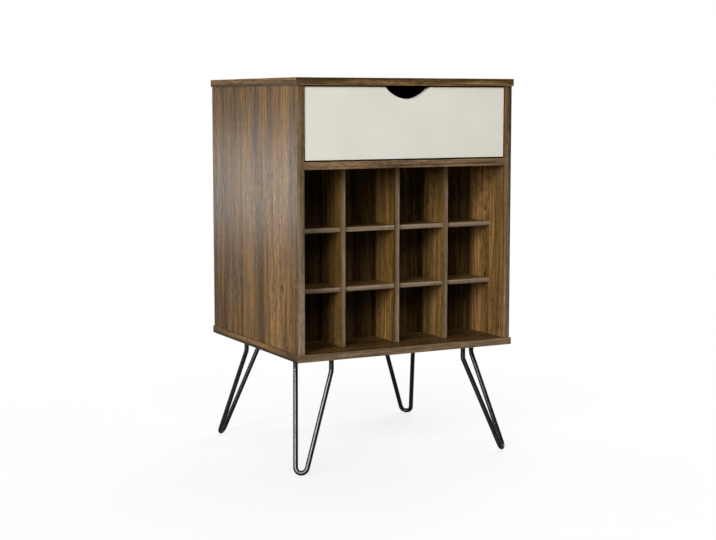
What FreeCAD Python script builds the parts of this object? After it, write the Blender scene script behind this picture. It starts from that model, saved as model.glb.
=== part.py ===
import FreeCAD, Part
import math
import os
from collections import defaultdict

import Sketcher
from FreeCAD import Placement, Rotation, Vector

# A wine cabinet on four hairpin legs: one drawer on roller slides above an egg-crate rack for bottles.
# Millimetres. The origin is on the floor under the middle of the cabinet, +Z is up and the front faces -Y.

SIZES = [
    # Carcass
    ("width", 500, "top and bottom panels from side to side"),
    ("depth", 440, "top and bottom panels from front to rear"),
    ("carcass_height", 558, "underside of the bottom panel to the top"),
    ("leg_height", 229, "floor to the underside of the bottom panel"),
    ("board", 15, "thickness of the carcass boards and the drawer front"),
    ("overhang", 3, "top and bottom panels past the side panels"),
    ("thin_board", 9, "thickness of the rack's boards"),
    ("back_board", 3, "thickness of the rear board"),
    # Rack
    ("rack_recess", 52, "dividers' front edges behind the side panels' front edges"),
    ("rack_depth", 86, "dividers from front to rear"),
    ("shelf_setback", 5, "rack shelves' front edges behind the dividers' front edges"),
    ("row_height", 112.5, "clear height of the two lower rows"),
    ("lap_play", 0.2, "play of the half-lap joints"),
    # Drawer
    ("bay_height", 149, "clear height of the drawer bay"),
    ("front_gap", 3, "gap around the drawer front"),
    ("front_recess", 3, "drawer front behind the side panels' front edges"),
    ("scoop_width", 102, "finger scoop along the drawer front's upper edge"),
    ("scoop_depth", 24, "finger scoop below the drawer front's upper edge"),
    ("drawer_board", 12, "thickness of the drawer's sides and back"),
    ("drawer_clearance", 66, "room behind the drawer"),
    ("drawer_side_height", 100, "drawer sides from lower to upper edge"),
    ("drawer_bottom_board", 3, "thickness of the drawer's bottom"),
    ("bottom_rise", 12, "drawer's bottom above the sides' lower edges"),
    ("groove_depth", 5, "groove that the drawer's bottom sits in"),
    ("groove_play", 0.1, "play of the bottom in its groove"),
    ("drawer_fix_low", 32, "lower fixings above the drawer sides' lower edges"),
    ("drawer_fix_high", 78, "upper fixings above the drawer sides' lower edges"),
    ("drawer_overlap", 90, "length of the drawer that stays in the cabinet when it is open"),
    # Roller slides
    ("slide_gap", 12.5, "gap between a side panel and the drawer's side"),
    ("rail_sheet", 1.2, "sheet thickness of the rails"),
    ("rail_lift", 14, "cabinet rails above the drawer shelf"),
    ("rail_setback", 3, "cabinet rails behind the drawer front"),
    ("rail_end", 3, "roller to the end of its rail"),
    ("edge_rise", 4, "drawer sides' lower edges above the rollers' track"),
    ("flange_gap", 0.6, "cabinet rail's flanges to the drawer rail"),
    ("runner_gap", 1, "drawer rail's flange to the cabinet rail"),
    ("roller_diameter", 17, "rollers"),
    ("roller_play", 2.5, "room left beside a roller between the two rails"),
    ("roller_chamfer", 0.8, "edges of the rollers"),
    ("running_gap", 0.3, "rollers to what they run on"),
    ("hub_gap", 0.5, "roller to the sheet that carries its pin"),
    ("window_gap", 2, "cut in the upper flange around the front roller"),
    ("stop_height", 2.5, "stop on the track that ends the drawer's travel"),
    ("stop_length", 3, "stop along the track"),
    ("pin_diameter", 5, "roller pins"),
    ("pin_head_diameter", 8, "heads of the roller pins"),
    ("pin_head_height", 0.6, "heads of the roller pins"),
    ("pin_head_gap", 0.2, "heads of the roller pins to the rollers"),
    # Legs
    ("rod_diameter", 10, "bent rod of the legs"),
    ("rod_near", 40, "rod's upper end from the nearer edge of the bottom panel"),
    ("rod_far", 94.5, "rod's upper end from the farther edge of the bottom panel"),
    ("rod_stub", 29, "upright stretch of a rod below the bottom panel"),
    ("knee_radius", 18, "centre line of the upper bends"),
    ("toe_radius", 12.5, "centre line of the bend on the floor"),
    ("toe_inset", 12, "foot from both edges of the bottom panel"),
    ("plate_sheet", 3, "thickness of the legs' plates"),
    ("plate_width", 90, "side of a leg's plate"),
    ("plate_inset", 25, "plate from both edges of the bottom panel"),
    ("plate_cut", 40, "cut off the plate's inner corner"),
    ("plate_hole_edge", 12, "outer screw holes from the plate's edges"),
    ("plate_hole_middle", 42, "middle screw holes from the plate's outer edges"),
    ("plate_hole_inner", 55, "inner screw hole from the plate's outer edges"),
    # Fasteners
    ("fastener_fit", 0.05, "radial play of fasteners and pins in their holes"),
    ("dowel_diameter", 8, "carcass dowels"),
    ("dowel_length", 30, "carcass dowels"),
    ("dowel_face", 10, "end of a carcass dowel in the face that it enters"),
    ("dowel_row_front", 40, "front dowels behind the side panels' front edges"),
    ("dowel_row_rear", 25, "rear dowels before the side panels' rear edges"),
    ("bolt_diameter", 6, "carcass cam bolts"),
    ("bolt_face", 11, "end of a cam bolt in the face that it enters"),
    ("lock_diameter", 15, "carcass cam locks"),
    ("lock_depth", 12.5, "carcass cam locks"),
    ("lock_setback", 34, "carcass cam locks from the end of their board"),
    ("lock_row_front", 40, "front cam locks behind the rack's back"),
    ("lock_row_rear", 60, "rear cam locks before the side panels' rear edges"),
    ("rack_dowel_diameter", 5, "rack dowels"),
    ("rack_dowel_length", 20, "rack dowels"),
    ("rack_dowel_inset", 20, "rack dowels from the rack shelves' front and rear edges"),
    ("rack_back_inset", 60, "dowels of the rack's back from its lower and upper ends"),
    ("nail_diameter", 1.6, "nails of the rear board"),
    ("nail_length", 20, "nails of the rear board"),
    ("nail_head_diameter", 4, "nails of the rear board"),
    ("nail_head_height", 0.8, "nails of the rear board"),
    ("nail_spacing", 150, "nails along the drawer shelf"),
    ("leg_screw_diameter", 4, "screws of the legs"),
    ("leg_screw_depth", 10, "screws of the legs in the bottom panel"),
    ("leg_screw_head_diameter", 8, "screws of the legs"),
    ("leg_screw_head_height", 2.4, "screws of the legs"),
    ("rail_screw_diameter", 3.5, "screws of the rails"),
    ("rail_screw_depth", 10, "screws of the rails in the boards"),
    ("rail_screw_head_diameter", 7, "screws of the rails"),
    ("rail_screw_head_height", 0.8, "screws of the rails"),
    ("rail_screw_front", 45, "front screws from the front of a rail"),
    ("rail_screw_rear", 30, "rear screws from the rear of a rail"),
    ("drawer_bolt_diameter", 5, "drawer cam bolts"),
    ("drawer_bolt_face", 10, "end of a drawer cam bolt in the drawer front"),
    ("drawer_lock_diameter", 10, "drawer cam locks"),
    ("drawer_lock_depth", 9.5, "drawer cam locks"),
    ("drawer_lock_setback", 24, "drawer cam locks from the front of the drawer's sides"),
    ("drawer_screw_diameter", 4, "screws of the drawer's back"),
    ("drawer_screw_length", 40, "screws of the drawer's back"),
    ("drawer_screw_head_diameter", 8, "screws of the drawer's back"),
    ("drawer_screw_head_height", 1.5, "screws of the drawer's back"),
]
SIDES = {"left": -1, "right": 1}
ENDS = {"front": -1, "rear": 1}
DIVIDERS = ["left_divider", "middle_divider", "right_divider"]
RACK_SHELVES = ["lower_rack_shelf", "upper_rack_shelf"]
SIDE_NAILS = 5
SHELF_NAILS = 3
OVERCUT = "1"

# Places in the cabinet, worked out from the sheet
HALF_WIDTH = "(size.width / 2)"
FRONT = "(-size.depth / 2)"
REAR = "(size.depth / 2)"
SIDE_OUTER = f"({HALF_WIDTH} - size.overhang)"
SIDE_INNER = f"({SIDE_OUTER} - size.board)"
SIDE_MIDDLE = f"({SIDE_OUTER} - size.board / 2)"
SIDE_FRONT = f"({FRONT} + size.overhang)"
SIDE_REAR = f"({REAR} - size.back_board)"
UNDERSIDE = "size.leg_height"
RACK_FLOOR = f"({UNDERSIDE} + size.board)"
TOP = f"({UNDERSIDE} + size.carcass_height)"
BAY_TOP = f"({TOP} - size.board)"
BAY_FLOOR = f"({BAY_TOP} - size.bay_height)"
SHELF_MIDDLE = f"({BAY_FLOOR} - size.board / 2)"
RACK_TOP = f"({BAY_FLOOR} - size.board)"

# Places in the rack
RACK_FRONT = f"({SIDE_FRONT} + size.rack_recess)"
RACK_REAR = f"({RACK_FRONT} + size.rack_depth)"
SHELF_FRONT = f"({RACK_FRONT} + size.shelf_setback)"
RACK_LAP = f"(({SHELF_FRONT} + {RACK_REAR}) / 2)"
RACK_BACK_REAR = f"({RACK_REAR} + size.thin_board)"
SLOT_WIDTH = f"(2 * {SIDE_INNER} / {len(DIVIDERS) + 1} - size.thin_board)"

# Places in the drawer
FRONT_FACE = f"({SIDE_FRONT} + size.front_recess)"
FRONT_BACK = f"({FRONT_FACE} + size.board)"
FRONT_TOP = f"({BAY_TOP} - size.front_gap)"
DRAWER_REAR = f"({SIDE_REAR} - size.drawer_clearance)"
DRAWER_LENGTH = f"({DRAWER_REAR} - {FRONT_BACK})"
DRAWER_TRAVEL = f"({DRAWER_LENGTH} - size.drawer_overlap)"
BOX_OUTER = f"({SIDE_INNER} - size.slide_gap)"
BOX_INNER = f"({BOX_OUTER} - size.drawer_board)"
BOX_MIDDLE = f"({BOX_OUTER} - size.drawer_board / 2)"
TRACK = f"({BAY_FLOOR} + size.rail_lift + size.rail_sheet)"
BOX_LOW = f"({TRACK} + size.edge_rise)"
BOX_HIGH = f"({BOX_LOW} + size.drawer_side_height)"
BOTTOM_LOW = f"({BOX_LOW} + size.bottom_rise)"
BOTTOM_HIGH = f"({BOTTOM_LOW} + size.drawer_bottom_board)"
SCOOP_RADIUS = "((size.scoop_width ^ 2 / 4 + size.scoop_depth ^ 2) / (2 * size.scoop_depth))"

# Places in the slides
ROLLER_RADIUS = "(size.roller_diameter / 2)"
ROLLER_WIDTH = "(size.slide_gap - 2 * size.rail_sheet - size.roller_play)"
CHANNEL_TOP = f"({TRACK} + size.roller_diameter + 2 * size.running_gap)"
RUNNER = f"({CHANNEL_TOP} + size.rail_sheet + size.running_gap)"
WEB_FACE = f"({SIDE_INNER} - size.rail_sheet)"
LEG_FACE = f"({BOX_OUTER} + size.rail_sheet)"
FLANGE_TIP = f"({LEG_FACE} + size.flange_gap)"
RAIL_FRONT = f"({FRONT_BACK} + size.rail_setback)"
RAIL_REAR = f"({RAIL_FRONT} + {DRAWER_LENGTH})"
CABINET_AXLE = {
    "y": f"({RAIL_FRONT} + size.rail_end + {ROLLER_RADIUS})",
    "z": f"({RUNNER} - size.running_gap - {ROLLER_RADIUS})",
    "near": f"({WEB_FACE} - size.hub_gap)",
}
CABINET_AXLE["far"] = f"({CABINET_AXLE['near']} - {ROLLER_WIDTH})"
DRAWER_AXLE = {
    "y": f"({DRAWER_REAR} - size.rail_end - {ROLLER_RADIUS})",
    "z": f"({TRACK} + size.running_gap + {ROLLER_RADIUS})",
    "near": f"({LEG_FACE} + size.hub_gap)",
}
DRAWER_AXLE["far"] = f"({DRAWER_AXLE['near']} + {ROLLER_WIDTH})"

TURNS = {"x": Rotation(Vector(0, 1, 0), 90), "y": Rotation(Vector(1, 0, 0), -90), "z": Rotation()}

doc = FreeCAD.newDocument("wine_cabinet")
sheet = doc.addObject("Spreadsheet::Sheet", "size")
for row, (alias, value, note) in enumerate(SIZES, start=1):
    sheet.set(f"A{row}", alias)
    sheet.set(f"B{row}", str(value))
    sheet.setAlias(f"B{row}", alias)
    sheet.set(f"C{row}", note)
doc.recompute()

pieces = []
bores = defaultdict(list)
groups = defaultdict(list)


def at(sign, place):
    """A place on the right of the cabinet, or its mirror image on the left."""
    return place if sign > 0 else f"(-{place})"


def span(sign, low, high):
    """A span on the right of the cabinet, or its mirror image on the left."""
    return (low, high) if sign > 0 else (f"(-{high})", f"(-{low})")


def both_ways(half):
    return f"(-{half})", half


def about(middle, half):
    return f"({middle} - {half})", f"({middle} + {half})"


def box(name, x, y, z):
    """A block between the given low and high places."""
    solid = doc.addObject("Part::Box", name)
    for length, axis, (low, high) in zip(("Length", "Width", "Height"), "xyz", (x, y, z)):
        solid.setExpression(length, f"{high} - {low}")
        solid.setExpression(f"Placement.Base.{axis}", low)
    return solid


def rod(name, x, y, z, radius):
    """A cylinder along the one axis whose place is a span."""
    places = {"x": x, "y": y, "z": z}
    along = next(axis for axis, place in places.items() if isinstance(place, tuple))
    low, high = places[along]
    places[along] = low
    solid = doc.addObject("Part::Cylinder", name)
    solid.Placement = Placement(Vector(), TURNS[along])
    solid.setExpression("Radius", radius)
    solid.setExpression("Height", f"{high} - {low}")
    for axis, place in places.items():
        solid.setExpression(f"Placement.Base.{axis}", place)
    return solid


def joined(name, solids):
    if len(solids) == 1:
        return solids[0]
    union = doc.addObject("Part::MultiFuse", name)
    union.Shapes = solids
    return union


def cut(name, solid, tools):
    if not tools:
        return solid
    result = doc.addObject("Part::Cut", name)
    result.Base = solid
    result.Tool = joined(f"{name}_cuts", tools)
    return result


def outline(body, role, corners):
    """A closed sketch through the given corners, each held to the sheet, on one of the body's planes."""
    sketch = body.newObject("Sketcher::SketchObject", f"{body.Name}_outline")
    plane = next(feature for feature in body.Origin.OriginFeatures if feature.Role == role)
    sketch.AttachmentSupport = [(plane, "")]
    sketch.MapMode = "FlatFace"
    points = [Vector(*(float(sketch.evalExpression(place)) for place in corner), 0) for corner in corners]
    for point, following in zip(points, points[1:] + points[:1]):
        sketch.addGeometry(Part.LineSegment(point, following), False)
    for index, (point, corner) in enumerate(zip(points, corners)):
        previous = (index - 1) % len(points)
        sketch.addConstraint(Sketcher.Constraint("Coincident", previous, 2, index, 1))
        for kind, value, place in zip(("DistanceX", "DistanceY"), (point.x, point.y), corner):
            held = sketch.addConstraint(Sketcher.Constraint(kind, -1, 1, index, 1, value))
            sketch.setExpression(f"Constraints[{held}]", place)
    return sketch


def padded(name, role, corners, length, reverse=False):
    """A body of one profile drawn out to a length."""
    body = doc.addObject("PartDesign::Body", name)
    sketch = outline(body, role, corners)
    pad = body.newObject("PartDesign::Pad", f"{name}_pad")
    pad.Profile = sketch
    pad.Reversed = reverse
    pad.setExpression("Length", length)
    return body


def piece(label, solid, cuts=()):
    """Takes a solid as a finished piece, less its cuts and the holes of its fasteners."""
    solid = cut(f"{label}_cut", solid, [*cuts, *bores[label]])
    solid.Label = label
    pieces.append(solid)


def fastener(group, boards, shank, head=None, sunk=False):
    """A dowel, nail, pin or screw, from the places and diameters of its shank and head, and its holes."""
    parts = [shank] if head is None else [shank, head]
    solids = [rod(f"{group}_solid", *place, f"({diameter} / 2)") for *place, diameter in parts]
    groups[group].append(joined(f"{group}_one", solids))
    for *place, diameter in parts if sunk else [shank]:
        bore = rod(f"{group}_bore", *place, f"({diameter} / 2 + size.fastener_fit)")
        for board in boards:
            bores[board].append(bore)


def cam_fitting(family, face_board, cam_board, bolt, lock):
    """A bolt out of one board's face, and the lock in the next board that draws it tight."""
    *bolt_place, bolt_diameter = bolt
    *lock_place, lock_diameter = lock
    bolts, locks = f"{family}_cam_bolts", f"{family}_cam_locks"
    groups[bolts].append(rod(f"{bolts}_solid", *bolt_place, f"({bolt_diameter} / 2)"))
    bolt_bore = rod(f"{bolts}_bore", *bolt_place, f"({bolt_diameter} / 2 + size.fastener_fit)")
    disc = rod(f"{locks}_solid", *lock_place, f"({lock_diameter} / 2)")
    groups[locks].append(cut(f"{locks}_one", disc, [bolt_bore]))
    pocket = rod(f"{locks}_pocket", *lock_place, f"({lock_diameter} / 2 + size.fastener_fit)")
    bores[face_board].append(bolt_bore)
    bores[cam_board] += [bolt_bore, pocket]


def shelf_low(row):
    """Underside of a rack shelf, counted from the lowest."""
    return f"({RACK_FLOOR} + {row + 1} * size.row_height + {row} * size.thin_board)"


def divider_middle(column):
    """Middle of a divider, counted from the left. The second slot is wider by the thickness of a board."""
    boards = column + 0.5 + min(column, 1)
    return f"(-{SIDE_INNER} + {column + 1} * {SLOT_WIDTH} + {boards} * size.thin_board)"


def carcass_joints():
    """Dowels and cam fittings between the side panels and the boards that they carry."""
    dowel_rest = "(size.dowel_length - size.dowel_face)"
    dowel_rows = [f"({SIDE_FRONT} + size.dowel_row_front)", f"({SIDE_REAR} - size.dowel_row_rear)"]
    lock_rows = [f"({RACK_BACK_REAR} + size.lock_row_front)", f"({SIDE_REAR} - size.lock_row_rear)"]
    for side, sign in SIDES.items():
        panel = f"{side}_side_panel"
        middle = at(sign, SIDE_MIDDLE)
        for y in dowel_rows:
            upper = (f"({BAY_TOP} - {dowel_rest})", f"({BAY_TOP} + size.dowel_face)")
            lower = (f"({RACK_FLOOR} - size.dowel_face)", f"({RACK_FLOOR} + {dowel_rest})")
            across = span(sign, f"({SIDE_INNER} - {dowel_rest})", f"({SIDE_INNER} + size.dowel_face)")
            for board, place in (
                ("top_panel", (middle, y, upper)),
                ("bottom_panel", (middle, y, lower)),
                ("drawer_shelf", (across, y, SHELF_MIDDLE)),
            ):
                fastener("carcass_dowels", [panel, board], (*place, "size.dowel_diameter"))
        lock_across = span(sign, SIDE_INNER, f"({SIDE_INNER} + size.lock_depth)")
        for y in lock_rows:
            upper_lock = f"({BAY_TOP} - size.lock_setback)"
            lower_lock = f"({RACK_FLOOR} + size.lock_setback)"
            shelf_lock = f"({SIDE_INNER} - size.lock_setback)"
            lock_sunk = (f"({BAY_FLOOR} - size.lock_depth)", BAY_FLOOR)
            cam_fitting(
                "carcass", "top_panel", panel,
                (middle, y, (upper_lock, f"({BAY_TOP} + size.bolt_face)"), "size.bolt_diameter"),
                (lock_across, y, upper_lock, "size.lock_diameter"),
            )
            cam_fitting(
                "carcass", "bottom_panel", panel,
                (middle, y, (f"({RACK_FLOOR} - size.bolt_face)", lower_lock), "size.bolt_diameter"),
                (lock_across, y, lower_lock, "size.lock_diameter"),
            )
            bolt_across = span(sign, shelf_lock, f"({SIDE_INNER} + size.bolt_face)")
            cam_fitting(
                "carcass", panel, "drawer_shelf",
                (bolt_across, y, SHELF_MIDDLE, "size.bolt_diameter"),
                (at(sign, shelf_lock), y, lock_sunk, "size.lock_diameter"),
            )


def rack_joints():
    """Dowels that hold the rack's boards between the side panels, the bottom panel and the drawer shelf."""
    rows = [f"({SHELF_FRONT} + size.rack_dowel_inset)", f"({RACK_REAR} - size.rack_dowel_inset)"]
    half = "(size.rack_dowel_length / 2)"
    diameter = "size.rack_dowel_diameter"
    for side, sign in SIDES.items():
        panel = f"{side}_side_panel"
        across = span(sign, *about(SIDE_INNER, half))
        for row, shelf in enumerate(RACK_SHELVES):
            middle = f"({shelf_low(row)} + size.thin_board / 2)"
            for y in rows:
                fastener("rack_dowels", [panel, shelf], (across, y, middle, diameter))
        back_middle = f"({RACK_REAR} + size.thin_board / 2)"
        for z in (f"({RACK_FLOOR} + size.rack_back_inset)", f"({RACK_TOP} - size.rack_back_inset)"):
            fastener("rack_dowels", [panel, "rack_back"], (across, back_middle, z, diameter))
    for column, divider in enumerate(DIVIDERS):
        for board, end in (("bottom_panel", RACK_FLOOR), ("drawer_shelf", RACK_TOP)):
            for y in rows:
                place = (divider_middle(column), y, about(end, half), diameter)
                fastener("rack_dowels", [board, divider], place)


def back_joints():
    """Nails through the rear board into the side panels and the drawer shelf, their heads set flush."""
    shank = (f"({REAR} - size.nail_length)", REAR)
    head = (f"({REAR} - size.nail_head_height)", REAR)

    def nail(board, x, z):
        fastener(
            "back_nails", [board, "back_panel"],
            (x, shank, z, "size.nail_diameter"), (x, head, z, "size.nail_head_diameter"), sunk=True,
        )

    for side, sign in SIDES.items():
        for number in range(SIDE_NAILS):
            share = (number + 0.5) / SIDE_NAILS
            z = f"({RACK_FLOOR} + ({BAY_TOP} - {RACK_FLOOR}) * {share})"
            nail(f"{side}_side_panel", at(sign, SIDE_MIDDLE), z)
    for number in range(SHELF_NAILS):
        nail("drawer_shelf", f"({number - (SHELF_NAILS - 1) / 2} * size.nail_spacing)", SHELF_MIDDLE)


def carcass():
    across, inside = both_ways(HALF_WIDTH), both_ways(SIDE_INNER)
    cap_depth, side_depth = (FRONT, REAR), (SIDE_FRONT, SIDE_REAR)
    upright = (RACK_FLOOR, BAY_TOP)
    piece("top_panel", box("top_blank", across, cap_depth, (BAY_TOP, TOP)))
    piece("bottom_panel", box("bottom_blank", across, cap_depth, (UNDERSIDE, RACK_FLOOR)))
    for side, sign in SIDES.items():
        thickness = span(sign, SIDE_INNER, SIDE_OUTER)
        piece(f"{side}_side_panel", box(f"{side}_blank", thickness, side_depth, upright))
    piece("drawer_shelf", box("drawer_shelf_blank", inside, side_depth, (RACK_TOP, BAY_FLOOR)))
    piece("rack_back", box("rack_back_blank", inside, (RACK_REAR, RACK_BACK_REAR), (RACK_FLOOR, RACK_TOP)))
    piece("back_panel", box("back_blank", both_ways(SIDE_OUTER), (SIDE_REAR, REAR), upright))


def rack():
    """Uprights notched from the rear and shelves notched from the front, lapped into each other."""
    half_notch = "(size.thin_board / 2 + size.lap_play / 2)"
    half_board = "(size.thin_board / 2)"
    rear_notch = (f"({RACK_LAP} - size.lap_play / 2)", f"({RACK_REAR} + {OVERCUT})")
    front_notch = (f"({SHELF_FRONT} - {OVERCUT})", f"({RACK_LAP} + size.lap_play / 2)")
    columns = [divider_middle(column) for column in range(len(DIVIDERS))]
    rows = [f"({shelf_low(row)} + {half_board})" for row in range(len(RACK_SHELVES))]
    for divider, x in zip(DIVIDERS, columns):
        past = about(x, f"({half_board} + {OVERCUT})")
        notches = [box(f"{divider}_notch", past, rear_notch, about(z, half_notch)) for z in rows]
        blank = box(f"{divider}_blank", about(x, half_board), (RACK_FRONT, RACK_REAR), (RACK_FLOOR, RACK_TOP))
        piece(divider, blank, notches)
    for shelf, z in zip(RACK_SHELVES, rows):
        past = about(z, f"({half_board} + {OVERCUT})")
        notches = [box(f"{shelf}_notch", about(x, half_notch), front_notch, past) for x in columns]
        blank = box(f"{shelf}_blank", both_ways(SIDE_INNER), (SHELF_FRONT, RACK_REAR), about(z, half_board))
        piece(shelf, blank, notches)


def plate(corner, sign_x, sign_y):
    """A leg's plate, square with its inner corner cut off, and its screws."""
    label = f"{corner}_plate"
    edge = "size.plate_inset"
    far = f"({edge} + size.plate_width)"
    cut_off = f"({far} - size.plate_cut)"

    def inward(along_x, along_y):
        return at(sign_x, f"({HALF_WIDTH} - {along_x})"), at(sign_y, f"({REAR} - {along_y})")

    corners = [(edge, edge), (far, edge), (far, cut_off), (cut_off, far), (edge, far)]
    body = padded(f"{label}_body", "XY_Plane", [inward(*point) for point in corners], "size.plate_sheet")
    body.setExpression("Placement.Base.z", f"{UNDERSIDE} - size.plate_sheet")
    outer, middle, inner = (f"({edge} + size.plate_hole_{place})" for place in ("edge", "middle", "inner"))
    seat = f"({UNDERSIDE} - size.plate_sheet)"
    shank = (seat, f"({UNDERSIDE} + size.leg_screw_depth)")
    head = (f"({seat} - size.leg_screw_head_height)", seat)
    for point in ((outer, outer), (outer, middle), (middle, outer), (inner, inner)):
        fastener(
            "leg_screws", [label, "bottom_panel"],
            (*inward(*point), shank, "size.leg_screw_diameter"),
            (*inward(*point), head, "size.leg_screw_head_diameter"),
        )
    piece(label, body)


def knee(top, corner, following, radius):
    """Points of the round bend at a corner of the rod: where it starts, its middle and where it ends."""
    down = (corner - top).normalize()
    out = (following - corner).normalize()
    reach = radius * math.tan(down.getAngle(out) / 2)
    start = corner - down * reach
    centre = start + (out - down * out.dot(down)).normalize() * radius
    return start, centre + (corner - centre).normalize() * radius, corner + out * reach


def leg_rod(sign_x, sign_y):
    """One rod: down from the plate, outward at a knee, round the foot and back up to the plate."""
    size = {alias: sheet.get(alias) for alias, value, note in SIZES}

    def inward(along_x, along_y, height):
        return Vector(sign_x * (size["width"] / 2 - along_x), sign_y * (size["depth"] / 2 - along_y), height)

    weld = size["leg_height"] - size["plate_sheet"]
    bend = size["leg_height"] - size["rod_stub"]
    ends = [(size["rod_near"], size["rod_far"]), (size["rod_far"], size["rod_near"])]
    tops = [inward(*end, weld) for end in ends]
    knees = [inward(*end, bend) for end in ends]
    toe = inward(size["toe_inset"], size["toe_inset"], size["rod_diameter"] / 2)
    between = (knees[0] + knees[1]) * 0.5
    down = (toe - between).normalize()
    centre = toe - down * size["toe_radius"]
    touches = []
    for corner in knees:
        outward = (corner - between).normalize()
        reach = (corner - centre).Length
        lean = math.atan2((corner - between).Length, (centre - between).Length)
        turn = math.pi - math.acos(size["toe_radius"] / reach) - lean
        touches.append(centre + (outward * math.sin(turn) + down * math.cos(turn)) * size["toe_radius"])
    bends = [knee(*points, size["knee_radius"]) for points in zip(tops, knees, touches)]
    left, right = bends
    path = Part.Wire([
        Part.LineSegment(tops[0], left[0]).toShape(),
        Part.Arc(*left).toShape(),
        Part.LineSegment(left[2], touches[0]).toShape(),
        Part.Arc(touches[0], toe, touches[1]).toShape(),
        Part.LineSegment(touches[1], right[2]).toShape(),
        Part.Arc(*reversed(right)).toShape(),
        Part.LineSegment(right[0], tops[1]).toShape(),
    ])
    section = Part.Circle(tops[0], Vector(0, 0, 1), size["rod_diameter"] / 2)
    solid = path.makePipeShell([Part.Wire(section.toShape())], True, False)
    expected = math.pi * size["rod_diameter"] ** 2 / 4 * path.Length
    if abs(solid.Volume / expected - 1) > 0.01:
        raise RuntimeError("a leg's rod isn't as long as its path")
    return solid


def legs():
    for end, sign_y in ENDS.items():
        for side, sign_x in SIDES.items():
            corner = f"{end}_{side}"
            plate(corner, sign_x, sign_y)
            leg = doc.addObject("Part::Feature", f"{corner}_rod")
            leg.Shape = leg_rod(sign_x, sign_y)
            leg.Placement = Placement()
            piece(f"{corner}_leg", leg)


def drawer_joints():
    """Cam fittings between the drawer front and the sides, and screws through the sides into the back."""
    front_lock = f"({FRONT_BACK} + size.drawer_lock_setback)"
    bolt_along = (f"({FRONT_BACK} - size.drawer_bolt_face)", front_lock)
    back_middle = f"({DRAWER_REAR} - size.drawer_board / 2)"
    for side, sign in SIDES.items():
        board = f"drawer_{side}_side"
        lock_across = span(sign, BOX_INNER, f"({BOX_INNER} + size.drawer_lock_depth)")
        shank = span(sign, f"({BOX_OUTER} - size.drawer_screw_length)", BOX_OUTER)
        head = span(sign, BOX_OUTER, f"({BOX_OUTER} + size.drawer_screw_head_height)")
        for rise in ("size.drawer_fix_low", "size.drawer_fix_high"):
            z = f"({BOX_LOW} + {rise})"
            cam_fitting(
                "drawer", "drawer_front", board,
                (at(sign, BOX_MIDDLE), bolt_along, z, "size.drawer_bolt_diameter"),
                (lock_across, front_lock, z, "size.drawer_lock_diameter"),
            )
            fastener(
                "drawer_screws", [board, "drawer_back"],
                (shank, back_middle, z, "size.drawer_screw_diameter"),
                (head, back_middle, z, "size.drawer_screw_head_diameter"),
            )


def drawer():
    groove_half = f"({BOX_INNER} + size.groove_depth)"
    groove_high = (f"({BOTTOM_LOW} - size.groove_play)", f"({BOTTOM_HIGH} + size.groove_play)")
    groove_front = f"({FRONT_BACK} - size.groove_depth)"
    box_length = (FRONT_BACK, DRAWER_REAR)
    past = (f"({FRONT_BACK} - {OVERCUT})", f"({DRAWER_REAR} + {OVERCUT})")
    for side, sign in SIDES.items():
        label = f"drawer_{side}_side"
        blank = box(f"{label}_blank", span(sign, BOX_INNER, BOX_OUTER), box_length, (BOX_LOW, BOX_HIGH))
        groove_across = span(sign, f"({BOX_INNER} - {OVERCUT})", groove_half)
        piece(label, blank, [box(f"{label}_groove", groove_across, past, groove_high)])
    back_depth = (f"({DRAWER_REAR} - size.drawer_board)", DRAWER_REAR)
    piece("drawer_back", box("drawer_back_blank", both_ways(BOX_INNER), back_depth, (BOTTOM_HIGH, BOX_HIGH)))
    bottom_half = f"({groove_half} - size.groove_play)"
    bottom_depth = (f"({groove_front} + size.groove_play)", DRAWER_REAR)
    bottom_thickness = (BOTTOM_LOW, BOTTOM_HIGH)
    piece("drawer_bottom", box("drawer_bottom_blank", both_ways(bottom_half), bottom_depth, bottom_thickness))
    front_half = f"({SIDE_INNER} - size.front_gap)"
    front_low = f"({BAY_FLOOR} + size.front_gap)"
    blank = box("drawer_front_blank", both_ways(front_half), (FRONT_FACE, FRONT_BACK), (front_low, FRONT_TOP))
    groove_past = (groove_front, f"({FRONT_BACK} + {OVERCUT})")
    groove = box("drawer_front_groove", both_ways(groove_half), groove_past, groove_high)
    through = (f"({FRONT_FACE} - {OVERCUT})", f"({FRONT_BACK} + {OVERCUT})")
    scoop_centre = f"({FRONT_TOP} - size.scoop_depth + {SCOOP_RADIUS})"
    scoop = rod("drawer_front_scoop", "0", through, scoop_centre, SCOOP_RADIUS)
    piece("drawer_front", blank, [groove, scoop])


def roller(label, sign, axle):
    """A roller with chamfered edges, turned about its pin."""
    half = f"({ROLLER_WIDTH} / 2)"
    bore = "(size.pin_diameter / 2 + size.fastener_fit)"
    rim = f"({ROLLER_RADIUS} - size.roller_chamfer)"
    tread = f"({half} - size.roller_chamfer)"
    profile = [
        (f"(-{half})", bore), (half, bore), (half, rim),
        (tread, ROLLER_RADIUS), (f"(-{tread})", ROLLER_RADIUS), (f"(-{half})", rim),
    ]
    body = doc.addObject("PartDesign::Body", f"{label}_body")
    sketch = outline(body, "XZ_Plane", profile)
    turned = body.newObject("PartDesign::Revolution", f"{label}_turned")
    turned.Profile = sketch
    turned.ReferenceAxis = (sketch, ["H_Axis"])
    turned.Angle = 360
    middle = f"(({axle['near']} + {axle['far']}) / 2)"
    for axis, place in (("x", at(sign, middle)), ("y", axle["y"]), ("z", axle["z"])):
        body.setExpression(f"Placement.Base.{axis}", place)
    piece(label, body)


def rail(label, sign, front, profile):
    """A rail of bent sheet, given its section on the right of the cabinet."""
    section = [(at(sign, x), z) for x, z in profile]
    body = padded(f"{label}_body", "XZ_Plane", section, DRAWER_LENGTH, reverse=True)
    body.setExpression("Placement.Base.y", front)
    return body


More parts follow.
